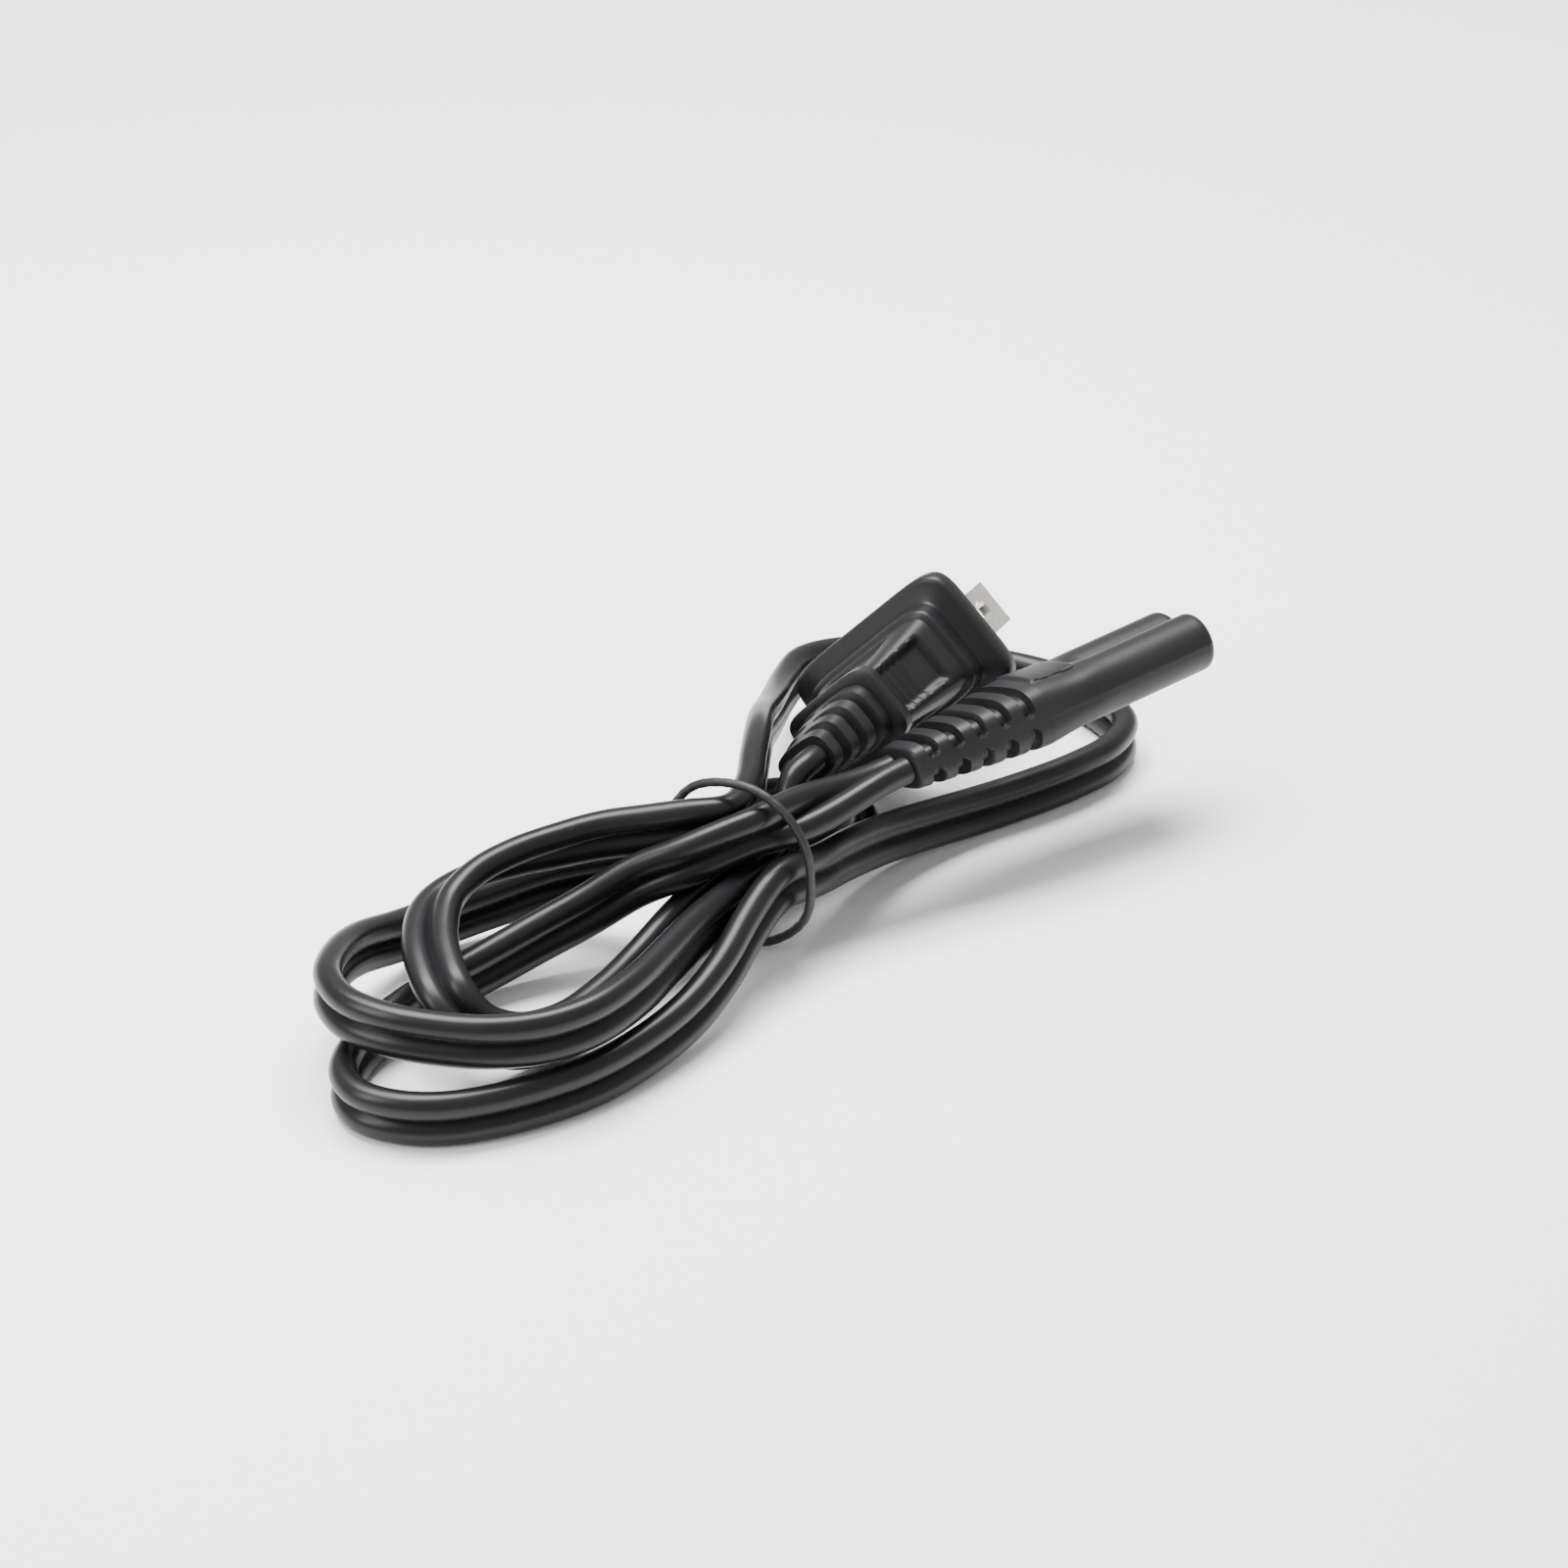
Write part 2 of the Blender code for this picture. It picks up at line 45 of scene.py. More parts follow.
# The route of the cord as the CAD has it: x, y, z and lean from standing on edge
connectorTail = np.array([22.0, -6.4, 18.2])
connectorTip = np.array([65.6, -14.2, 22.2])
plugTail = np.array([14.8, 2.6, 18.2])
plugFace = np.array([44.8, 13.2, 15.2])
connectorRoll = -22.0
plugRoll = 133.5
cordRoute = [
    (16.0, -5.6, 17.8, -104),
    (11.0, -4.9, 17.5, -76),
    (5.5, -3.9, 17.1, -34),
    (0.0, -3.0, 17.0, 0),
    (-4.0, -1.5, 16.2, 0),
    (-8.0, 1.2, 14.4, 0),
    (-12.0, 5.0, 12.0, 0),
    (-17.1, 7.9, 9.0, 0),
    (-22.8, 10.5, 6.6, 0),
    (-29.3, 12.3, 4.8, 0),
    (-36.0, 13.3, 3.8, 0),
    (-42.6, 13.0, 3.4, 0),
    (-48.1, 11.8, 3.4, 0),
    (-52.9, 9.7, 3.4, 0),
    (-56.5, 6.6, 3.4, 0),
    (-57.8, 2.6, 3.4, 0),
    (-56.5, -1.8, 3.4, 0),
    (-53.1, -6.0, 3.4, 0),
    (-48.2, -9.0, 3.4, 0),
    (-42.5, -11.2, 3.4, 0),
    (-36.2, -12.6, 3.4, 0),
    (-28.4, -13.0, 3.8, 0),
    (-20.0, -12.3, 4.8, 0),
    (-12.5, -10.5, 6.6, 0),
    (-6.0, -8.3, 9.0, 0),
    (0.0, -6.9, 10.9, 0),
    (7.6, -6.2, 9.8, 0),
    (15.6, -4.0, 7.8, 0),
    (23.8, -2.4, 5.8, 0),
    (32.5, -2.4, 4.3, 0),
    (40.3, -3.4, 3.5, 0),
    (47.7, -5.0, 3.4, 0),
    (56.0, -6.3, 3.4, 0),
    (63.0, -6.2, 3.4, 0),
    (68.5, -3.6, 3.4, 0),
    (71.0, 2.0, 3.45, 0),
    (72.0, 9.0, 3.5, 0),
    (70.0, 17.0, 3.6, 0),
    (65.6, 24.4, 4.0, 0),
    (60.0, 30.0, 4.8, 0),
    (53.4, 33.6, 6.0, 0),
    (46.4, 34.2, 7.1, 0),
    (40.0, 31.2, 7.8, 0),
    (34.0, 27.0, 9.2, 0),
    (28.0, 22.4, 11.4, 0),
    (22.0, 17.6, 14.2, 0),
    (16.4, 12.6, 16.4, 0),
    (11.0, 8.0, 17.1, 0),
    (5.5, 3.5, 17.0, 0),
    (0.0, 1.1, 17.0, 0),
    (-4.5, 3.7, 17.2, 2),
    (-8.2, 6.8, 16.8, 5),
    (-12.0, 10.4, 16.2, 10),
    (-16.4, 13.7, 15.2, 20),
    (-21.4, 16.6, 14.3, 35),
    (-26.8, 18.2, 13.4, 52),
    (-32.0, 17.4, 12.8, 68),
    (-36.6, 14.0, 12.3, 80),
    (-40.4, 9.0, 11.6, 84),
    (-42.6, 4.0, 10.2, 76),
    (-41.8, 0.8, 7.2, 52),
    (-38.0, -1.6, 4.6, 22),
    (-32.3, -2.6, 3.6, 4),
    (-24.0, -1.8, 3.8, 0),
    (-16.3, -0.2, 4.8, 0),
    (-8.6, 1.0, 6.8, 0),
    (0.0, 1.2, 9.0, 0),
    (8.0, 3.0, 5.4, 0),
    (14.0, 3.6, 4.0, 0),
    (20.0, 3.4, 3.6, 10),
    (25.6, 4.8, 2.9, 50),
    (29.6, 8.8, 2.3, 82),
    (29.8, 13.6, 2.3, 82),
    (26.0, 17.2, 3.0, 45),
    (20.6, 17.0, 4.0, 10),
    (15.4, 14.2, 5.6, 0),
    (10.0, 10.2, 8.4, 0),
    (5.0, 6.8, 10.8, 0),
    (0.0, 5.3, 12.0, 0),
    (-4.0, 6.8, 10.8, 0),
    (-8.0, 11.0, 9.5, 0),
    (-13.0, 17.2, 7.4, 0),
    (-19.0, 21.8, 5.2, 0),
    (-26.5, 24.0, 4.6, 0),
    (-34.0, 24.0, 5.6, 0),
    (-40.4, 22.6, 7.6, 0),
    (-47.0, 19.0, 9.6, 0),
    (-51.8, 14.4, 10.7, 0),
    (-53.6, 9.4, 10.9, 0),
    (-52.6, 3.6, 10.8, 0),
    (-49.4, -2.2, 10.6, 0),
    (-45.6, -7.0, 10.6, 0),
    (-41.0, -10.2, 10.6, 0),
    (-35.0, -11.8, 10.7, 0),
    (-27.3, -11.0, 10.7, 0),
    (-20.0, -8.6, 10.4, 0),
    (-12.0, -5.8, 10.0, 0),
    (-5.0, -3.9, 9.5, 0),
    (0.0, -2.9, 9.5, 0),
    (4.0, -2.2, 10.0, 0),
    (7.2, -0.4, 11.9, -2),
    (9.4, 0.9, 14.8, -8),
    (11.6, 1.9, 17.4, -24),
]
bandTurn = -15.0
bandCentre = (0.0, 0.1)
bandOutline = [
    (0.0, 0.9),
    (4.0, 1.6),
    (7.6, 4.2),
    (9.6, 8.4),
    (9.9, 12.6),
    (8.6, 17.0),
    (5.6, 20.6),
    (1.4, 22.2),
    (-3.0, 22.2),
    (-6.8, 20.2),
    (-9.6, 16.2),
    (-10.3, 11.6),
    (-9.7, 6.8),
    (-6.8, 3.2),
    (-3.6, 1.3),
]


cameraLook = {
    "target": (19.4, 11.0, 10.0),
    "azimuth": -45.6,
    "elevation": 30.0,
    "distance": 500.0,
    "sensor": 36.0,
    "pixelsPerMm": 8.15,
    "photoWidth": 1600.0,
}


def setCamera():
    # A long lens from the front left, whose length gives the photo's scale at the target
    look = cameraLook
    target = np.array(look["target"]) + hankShift
    azimuth, elevation = math.radians(look["azimuth"]), math.radians(look["elevation"])
    away = np.array([
        math.cos(elevation) * math.sin(azimuth),
        -math.cos(elevation) * math.cos(azimuth),
        math.sin(elevation),
    ])
    data = bpy.data.cameras.new("photoCamera")
    camera = bpy.data.objects.new("photoCamera", data)
    bpy.context.scene.collection.objects.link(camera)
    camera.location = Vector((target + away * look["distance"]) * mm)
    camera.rotation_euler = Vector(-away).to_track_quat("-Z", "Y").to_euler()
    data.sensor_width = look["sensor"]
    data.lens = look["sensor"] * look["pixelsPerMm"] * look["distance"] / look["photoWidth"]
    data.clip_start = 0.01
    bpy.context.scene.camera = camera


def areaLight(name, place, aim, size, power, tint=(1.0, 1.0, 1.0)):
    data = bpy.data.lights.new(name, "AREA")
    data.shape = "RECTANGLE"
    data.size, data.size_y = size
    data.energy = power
    data.color = tint
    light = bpy.data.objects.new(name, data)
    bpy.context.scene.collection.objects.link(light)
    light.location = Vector(place)
    light.rotation_euler = (Vector(aim) - Vector(place)).to_track_quat("-Z", "Y").to_euler()


def setStudio():
    # An even white world, a wide soft light overhead, a weaker one from the left, and the floor
    world = bpy.data.worlds.new("studioWorld")
    bpy.context.scene.world = world
    world.use_nodes = True
    world.node_tree.nodes["Background"].inputs["Color"].default_value = (1.0, 1.0, 1.0, 1.0)
    world.node_tree.nodes["Background"].inputs["Strength"].default_value = 0.8
    areaLight("overheadSoftbox", (0.05, 0.16, 0.6), (0.0, 0.0, 0.0), (0.6, 0.3), 16.0)
    areaLight("leftSoftbox", (-0.55, 0.15, 0.4), (0.0, 0.0, 0.0), (0.2, 0.4), 3.0)
    mesh = bpy.data.meshes.new("studioFloor")
    half = 3.0
    corners = [(-half, -half, 0), (half, -half, 0), (half, half, 0), (-half, half, 0)]
    mesh.from_pydata(corners, [], [(0, 1, 2, 3)])
    floor = bpy.data.objects.new("studioFloor", mesh)
    bpy.context.scene.collection.objects.link(floor)
    material, shader, _ = newMaterial("floorWhite")
    shader.inputs["Base Color"].default_value = (0.96, 0.96, 0.965, 1.0)
    shader.inputs["Roughness"].default_value = 0.28
    shader.inputs["Specular IOR Level"].default_value = 0.35
    mesh.materials.append(material)


def newMaterial(name):
    material = bpy.data.materials.new(name)
    material.use_nodes = True
    nodes = material.node_tree.nodes
    return material, nodes["Principled BSDF"], material.node_tree


def link(tree, start, end):
    tree.links.new(start, end)


def noiseNode(tree, vector, scale, detail=3.0, roughness=0.5):
    node = tree.nodes.new("ShaderNodeTexNoise")
    node.inputs["Scale"].default_value = scale
    node.inputs["Detail"].default_value = detail
    node.inputs["Roughness"].default_value = roughness
    link(tree, vector, node.inputs["Vector"])
    return node.outputs["Fac"]


def rangeNode(tree, value, low, high, outLow, outHigh):
    node = tree.nodes.new("ShaderNodeMapRange")
    for name, number in (("From Min", low), ("From Max", high), ("To Min", outLow), ("To Max", outHigh)):
        node.inputs[name].default_value = number
    link(tree, value, node.inputs["Value"])
    return node.outputs["Result"]


def mathNode(tree, operation, first, second):
    node = tree.nodes.new("ShaderNodeMath")
    node.operation = operation
    for socket, value in zip(node.inputs, (first, second)):
        if isinstance(value, (int, float)):
            socket.default_value = value
        else:
            link(tree, value, socket)
    return node.outputs[0]


def mixColour(tree, share, first, second):
    node = tree.nodes.new("ShaderNodeMix")
    node.data_type = "RGBA"
    node.inputs["A"].default_value = (*first, 1.0)
    node.inputs["B"].default_value = (*second, 1.0)
    link(tree, share, node.inputs["Factor"])
    return node.outputs["Result"]


def makeWearGroup():
    # Gives, from a place in metres: a slow blotch, a fine grain, and a few hairline scuffs
    group = bpy.data.node_groups.new("surfaceWear", "ShaderNodeTree")
    group.interface.new_socket("Place", in_out="INPUT", socket_type="NodeSocketVector")
    for name in ("Blotch", "Grain", "Scuff"):
        group.interface.new_socket(name, in_out="OUTPUT", socket_type="NodeSocketFloat")
    enter = group.nodes.new("NodeGroupInput")
    leave = group.nodes.new("NodeGroupOutput")
    place = enter.outputs["Place"]
    link(group, noiseNode(group, place, 55.0, 4.0, 0.6), leave.inputs["Blotch"])
    link(group, noiseNode(group, place, 4200.0, 2.0, 0.6), leave.inputs["Grain"])
    stretch = group.nodes.new("ShaderNodeMapping")
    stretch.inputs["Scale"].default_value = (60.0, 900.0, 700.0)
    stretch.inputs["Rotation"].default_value = (0.3, 0.5, 0.9)
    link(group, place, stretch.inputs["Vector"])
    lines = noiseNode(group, stretch.outputs["Vector"], 1.0, 5.0, 0.65)
    link(group, rangeNode(group, lines, 0.63, 0.72, 0.0, 1.0), leave.inputs["Scuff"])
    return group


def blackPlastic(name, wear, look):
    # Near-black plastic: blotches shift the tone and the gloss, scuffs dull it, grain gives the bump
    material, shader, tree = newMaterial(name)
    place = tree.nodes.new("ShaderNodeTexCoord").outputs["Object"]
    worn = tree.nodes.new("ShaderNodeGroup")
    worn.node_tree = wear
    link(tree, place, worn.inputs["Place"])
    blotch, grain, scuff = (worn.outputs[n] for n in ("Blotch", "Grain", "Scuff"))
    tone = rangeNode(tree, blotch, 0.3, 0.7, 0.0, 0.8)
    tone = mathNode(tree, "ADD", tone, mathNode(tree, "MULTIPLY", scuff, 0.5))
    link(tree, mixColour(tree, tone, look["dark"], look["light"]), shader.inputs["Base Color"])
    smooth, rough = look["roughness"] - look["vary"], look["roughness"] + look["vary"]
    gloss = rangeNode(tree, blotch, 0.3, 0.7, smooth, rough)
    gloss = mathNode(tree, "ADD", gloss, mathNode(tree, "MULTIPLY", scuff, look["scuff"]))
    link(tree, gloss, shader.inputs["Roughness"])
    bump = tree.nodes.new("ShaderNodeBump")
    bump.inputs["Strength"].default_value = look["bump"]
    bump.inputs["Distance"].default_value = 0.00006
    link(tree, grain, bump.inputs["Height"])
    link(tree, bump.outputs["Normal"], shader.inputs["Normal"])
    shader.inputs["Specular IOR Level"].default_value = look["specular"]
    return material


def platedMetal(name, tint):
    # Pale plated metal: fine brushed lines along the blade that vary the gloss and give the bump, and a
    # slight blotch in the tone
    material, shader, tree = newMaterial(name)
    place = tree.nodes.new("ShaderNodeTexCoord").outputs["Object"]
    stretch = tree.nodes.new("ShaderNodeMapping")
    stretch.inputs["Scale"].default_value = (90.0, 2600.0, 2600.0)
    link(tree, place, stretch.inputs["Vector"])
    lines = noiseNode(tree, stretch.outputs["Vector"], 1.0, 4.0, 0.6)
    blotch = noiseNode(tree, place, 260.0, 3.0, 0.6)
    dull = tuple(c * 0.86 for c in tint)
    share = rangeNode(tree, blotch, 0.35, 0.65, 0.0, 1.0)
    link(tree, mixColour(tree, share, tint, dull), shader.inputs["Base Color"])
    link(tree, rangeNode(tree, lines, 0.3, 0.7, 0.2, 0.36), shader.inputs["Roughness"])
    bump = tree.nodes.new("ShaderNodeBump")
    bump.inputs["Strength"].default_value = 0.12
    bump.inputs["Distance"].default_value = 0.00003
    link(tree, lines, bump.inputs["Height"])
    link(tree, bump.outputs["Normal"], shader.inputs["Normal"])
    shader.inputs["Metallic"].default_value = 1.0
    return material


def unit(vector):
    return vector / np.linalg.norm(vector, axis=-1, keepdims=True)


def evenCurve(points, step):
    # A cubic through the points whose slopes follow the neighbours, read at even steps
    given = np.array(points, float)
    at = np.concatenate([[0.0], np.cumsum(np.linalg.norm(np.diff(given[:, :3], axis=0), axis=1))])
    slope = np.gradient(given, at, axis=0)
    fine = np.linspace(0.0, at[-1], 60 * len(given))
    i = np.clip(np.searchsorted(at, fine, side="right") - 1, 0, len(given) - 2)
    span = (at[i + 1] - at[i])[:, None]
    u = (fine - at[i])[:, None] / span
    curve = (
        (2 * u**3 - 3 * u**2 + 1) * given[i]
        + (u**3 - 2 * u**2 + u) * span * slope[i]
        + (3 * u**2 - 2 * u**3) * given[i + 1]
        + (u**3 - u**2) * span * slope[i + 1]
    )
    along = np.concatenate([[0.0], np.cumsum(np.linalg.norm(np.diff(curve[:, :3], axis=0), axis=1))])
    even = np.linspace(0.0, along[-1], round(along[-1] / step) + 1)
    return np.stack([np.interp(even, along, curve[:, k]) for k in range(curve.shape[1])], axis=1)


def softened(rows, reach):
    # Each row becomes the bell-weighted mean of its neighbours, and the ends stay where they are
    width = int(reach * 3)
    weights = np.exp(-0.5 * (np.arange(-width, width + 1) / reach) ** 2)
    weights /= weights.sum()
    padded = np.vstack([2 * rows[0] - rows[width:0:-1], rows, 2 * rows[-1] - rows[-2 : -width - 2 : -1]])
    columns = [np.convolve(padded[:, k], weights, mode="valid") for k in range(rows.shape[1])]
    return np.stack(columns, axis=1)


def putMesh(name, grid, material, closedRows=False):
    # A surface through a grid of points whose columns close round; flat caps unless the rows close too
    rows, columns = grid.shape[:2]
    index = np.arange(rows * columns).reshape(rows, columns)
    nearRows = index if closedRows else index[:-1]
    farRows = np.roll(index, -1, axis=0) if closedRows else index[1:]
    quads = np.stack([nearRows, np.roll(nearRows, -1, 1), np.roll(farRows, -1, 1), farRows], axis=-1)
    faces = quads.reshape(-1, 4).tolist()
    if not closedRows:
        faces.append(index[0][::-1].tolist())
        faces.append(index[-1].tolist())
    mesh = bpy.data.meshes.new(name)
    mesh.from_pydata((grid.reshape(-1, 3) * mm).tolist(), [], faces)
    if signedVolume(mesh) < 0:
        mesh.flip_normals()
    mesh.materials.append(material)
    mesh.shade_smooth()
    mesh.set_sharp_from_angle(angle=math.radians(50))
    piece = bpy.data.objects.new(name, mesh)
    bpy.context.scene.collection.objects.link(piece)
    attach(piece, "root")
    return piece


def signedVolume(mesh):
    # The sum of every triangle's box product with the origin: positive when the faces point outward
    mesh.calc_loop_triangles()
    points = np.empty(len(mesh.vertices) * 3)
    mesh.vertices.foreach_get("co", points)
    points = points.reshape(-1, 3)
    corners = np.empty(len(mesh.loop_triangles) * 3, int)
    mesh.loop_triangles.foreach_get("vertices", corners)
    a, b, c = (points[corners.reshape(-1, 3)[:, k]] for k in range(3))
    return float((a * np.cross(b, c)).sum() / 6)


def drillOut(piece, grid):
    # Takes the closed form through the grid out of the piece with an exact Boolean, and applies it
    drill = putMesh("drill", grid, piece.data.materials[0])
    cut = piece.modifiers.new("drillOut", "BOOLEAN")
    cut.operation = "DIFFERENCE"
    cut.solver = "EXACT"
    cut.object = drill
    bpy.context.view_layer.update()
    made = bpy.data.meshes.new_from_object(piece.evaluated_get(bpy.context.evaluated_depsgraph_get()))
    piece.modifiers.clear()
    piece.data = made
    bpy.data.objects.remove(drill, do_unlink=True)


def ease(value, low, high):
    # 0 below low, 1 above high, and a smooth S between
    u = np.clip((value - low) / (high - low), 0.0, 1.0)
    return u * u * (3 - 2 * u)


def frameAlong(start, end, roll):
    # Three square directions: along the piece, and two across it that are turned by its roll
    ahead = unit(end - start)
    side = unit(np.cross([0, 0, 1], ahead))
    over = np.cross(ahead, side)
    turn = math.radians(roll)
    return np.array([
        ahead,
        side * math.cos(turn) + over * math.sin(turn),
        over * math.cos(turn) - side * math.sin(turn),
    ])


def boxRadius(angle, width, height, squareness):
    # The superellipse with the given half width and half height, as a distance for each direction
    across = np.abs(np.cos(angle)) / (width / 2)
    up = np.abs(np.sin(angle)) / (height / 2)
    return (across**squareness + up**squareness) ** (-1 / squareness)


def placed(local, start, axes):
    # From a piece's own directions to the hank's place on the floor
    return local @ axes + start + hankShift


cordLook = {
    "width": 6.8,
    "thickness": 3.4,
    "web": 1.15,
    "step": 0.6,
    "sides": 22,
    "valley": 0.12,
    "lead": 2.4,
    "gap": 0.3,
    "soften": 1.6,
    "endBlend": 2.0,
}


def cordOutline():
    # Two round cores side by side; where they meet, the outline dips to a thin web with a rounded valley
    radius = cordLook["thickness"] / 2
    centre = (cordLook["width"] - cordLook["thickness"]) / 2
    web = cordLook["web"] / 2
    opening = math.pi - math.asin(web / radius) - 0.1
    angles = np.linspace(-opening, opening, cordLook["sides"])
    right = np.stack([centre + radius * np.cos(angles), radius * np.sin(angles)], axis=1)
    right = right[right[:, 0] > cordLook["valley"]]
    return np.vstack([right, [[0.0, web]], -right, [[0.0, -web]]])


def makeCord(material):
    # The outline swept along the softened route, leaning as the route says, square to both mouldings
    connectorAhead = unit(connectorTip - connectorTail)
    plugAhead = unit(plugFace - plugTail)
    lead, gap = cordLook["lead"], cordLook["gap"]
    points = [(*(connectorTail - connectorAhead * back), connectorRoll - 90) for back in (gap, lead)]
    points += cordRoute
    points += [(*(plugTail - plugAhead * back), 90 - plugRoll) for back in (lead / 2, gap)]
    line = softened(evenCurve(points, cordLook["step"]), cordLook["soften"])
    places = line[:, :3]
    ahead = unit(np.gradient(places, axis=0))
    blendEnd = np.exp(-np.arange(len(line)) / cordLook["endBlend"])[:, None]
    ahead = unit(ahead * (1 - blendEnd) - connectorAhead * blendEnd)
    ahead = unit(ahead * (1 - blendEnd[::-1]) + plugAhead * blendEnd[::-1])
    left = unit(np.cross([0.0, 0.0, 1.0], ahead))
    upright = np.cross(ahead, left)
    along = np.arange(len(line)) * cordLook["step"]
    wander = 1.6 * np.sin(along / 9.0) + 1.2 * np.sin(along / 23.0 + 1.0)
    lean = np.radians(line[:, 3] + wander)[:, None]
    wide = upright * np.cos(lean) + left * np.sin(lean)
    thick = np.cross(ahead, wide)
    outline = cordOutline()
    grid = places[:, None] + wide[:, None] * outline[None, :, :1] + thick[:, None] * outline[None, :, 1:]
    piece = putMesh("flatCord", grid + hankShift, material)
    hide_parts("cord")
    length = float(np.linalg.norm(np.diff(places, axis=0), axis=1).sum()) * mm
    kept = np.unique(np.append(np.arange(0, len(places) - 2, 3), len(places) - 1))
    path = [tuple(p) for p in (places[kept] + hankShift) * mm]
    print("cord length", round(length, 4), "vertices", len(piece.data.vertices))
    return piece, length, path


mouldLook = {
    "grooveDepth": 1.25,
    "spine": 0.75,
    "sides": 176,
}


def ribGrooves(x, y, z, length, count, depth):
    # Rounded slots across the top and bottom: deep in the middle of each gap, round at the side spine
    pitch = length / (count + 0.5)
    nearest = (np.floor(x / pitch) + 0.75) * pitch
    inside = (x > 0) & (x < count * pitch)
    rise = np.abs(z) - mouldLook["spine"]
    radius = pitch * 0.25
    half = np.sqrt(np.clip(radius**2 - np.clip(radius - rise, 0, radius) ** 2, 0, None)) * (rise > 0)
    cut = ease(half - np.abs(x - nearest), 0.0, 0.22)
    return np.where(inside, depth * cut, 0.0)


connectorLook = {
    "length": 45.0,
    "lobe": 7.6,
    "spacing": 6.2,
    "waist": 4.6,
    "shoulder": (13.6, 8.6),
    "tail": (8.0, 5.4),
    "relief": 18.5,
    "ribs": 5,
    "nose": 1.1,
    "contactSpacing": 8.6,
    "contactHole": 3.6,
    "contactDepth": 14.0,
    "holeSides": 40,
    "neck": (13.8, 7.9),
    "pad": (7.0, 3.6, 0.4),
    "seam": (0.09, 0.16),
}


def connectorGrid():
    # Superellipse rings that widen along the relief, then blend into two lobes with a valley between
    look = connectorLook
    sides = mouldLook["sides"]
    angle = (np.arange(sides) + 0.5) * 2 * np.pi / sides
    relief, length, nose = look["relief"], look["length"], look["nose"]
    stations = np.concatenate([
        [0.0, 0.12],
        np.arange(0.3, relief + 0.5, 0.15),
        np.arange(relief + 0.6, length - nose, 0.35),
        length - nose + nose * np.sin(np.linspace(0, np.pi / 2, 9)),
    ])
    x = stations[:, None] + 0 * angle[None]
    share = np.clip(x / relief, 0, 1) ** 0.8
    width = look["tail"][0] + (look["shoulder"][0] - look["tail"][0]) * share
    height = look["tail"][1] + (look["shoulder"][1] - look["tail"][1]) * share
    angles = angle[None] + 0 * x
    boxy = boxRadius(angles, width, height, 3.4)
    radius, centre = look["lobe"] / 2, look["spacing"] / 2
    reach = radius**2 - (centre * np.sin(angles)) ** 2
    lobes = centre * np.abs(np.cos(angles)) + np.sqrt(np.clip(reach, 0, None))
    waist = look["waist"] / 2 / np.clip(np.abs(np.sin(angles)), 0.25, 1)
    nearWaist = np.abs(np.cos(angles)) < 0.45
    eight = np.log(np.exp(lobes * 6) + np.exp(np.clip(waist, 0, 4.2) * 6 * nearWaist)) / 6
    blend = ease(x, relief - 0.5, relief + 6.0)
    flat = boxRadius(angles, *look["neck"], 2.9)
    shape = boxy * (1 - blend) + flat * blend
    valley = ease(x, relief + 6.5, relief + 11.5)
    shape = shape * (1 - valley) + eight * valley
    y, z = shape * np.cos(angles), shape * np.sin(angles)
    cut = ribGrooves(x, y, z, relief, look["ribs"], mouldLook["grooveDepth"])
    padLength, padHalf, padRise = look["pad"]
    pad = ease(x, relief + 0.2, relief + 0.6) * (1 - ease(x, relief + padLength, relief + padLength + 0.6))
    pad = pad * (z > 0) * (1 - ease(np.abs(y), padHalf, padHalf + 0.5))
    seamRise, seamHalf = look["seam"]
    seam = seamRise * np.exp(-((z / seamHalf) ** 2)) * ease(x, relief, relief + 1.0)
    shape = shape - cut + padRise * pad + seam
    inset = nose - np.sqrt(np.clip(nose**2 - np.clip(x - (length - nose), 0, nose) ** 2, 0, None))
    shape = shape - inset - 0.35 * (1 - ease(x, 0.0, 0.3))
    return np.stack([x, shape * np.cos(angles), shape * np.sin(angles)], axis=-1)


def cutHoles(piece, axes):
    # Two round holes from the front face, side by side
    look = connectorLook
    bottom = connectorTail + axes[0] * (look["length"] - look["contactDepth"])
    ring = np.arange(look["holeSides"]) * 2 * np.pi / look["holeSides"]
    around = np.cos(ring)[:, None] * axes[1] + np.sin(ring)[:, None] * axes[2]
    around = around * look["contactHole"] / 2
    for side in (-1, 1):
        middle = bottom + axes[1] * side * look["contactSpacing"] / 2
        grid = np.stack([middle + axes[0] * reach + around for reach in (0.0, look["contactDepth"] + 2.0)])
        drillOut(piece, grid + hankShift)


def makeConnector(material):
    # The moulding from its tail to its nose, with both holes cut
    axes = frameAlong(connectorTail, connectorTip, connectorRoll)
    grid = placed(connectorGrid(), connectorTail, axes)
    piece = putMesh("connectorMoulding", grid, material)
    cutHoles(piece, axes)
    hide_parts("connector_body")
    print("connector vertices", len(piece.data.vertices))
    return piece


plugLook = {
    "flange": (28.0, 18.2),
    "flangeThickness": 3.0,
    "body": (22.4, 13.0),
    "neck": (12.4, 8.6),
    "collar": (15.0, 10.6),
    "collarThickness": 2.4,
    "relief": 12.0,
    "tail": (8.0, 5.2),
    "ribs": 3,
    "bladeSpacing": 12.7,
    "bladeWidth": 6.35,
    "bladeThickness": 1.5,
    "bladePocket": 3.0,
    "bladeRoom": 0.3,
    "ribDepth": 1.1,
    "recessLength": 7.6,
    "ridgePitch": 1.1,
    "ridgeRun": 4.6,
    "ridgeShare": 0.3,
    "panelDepth": 0.6,
}


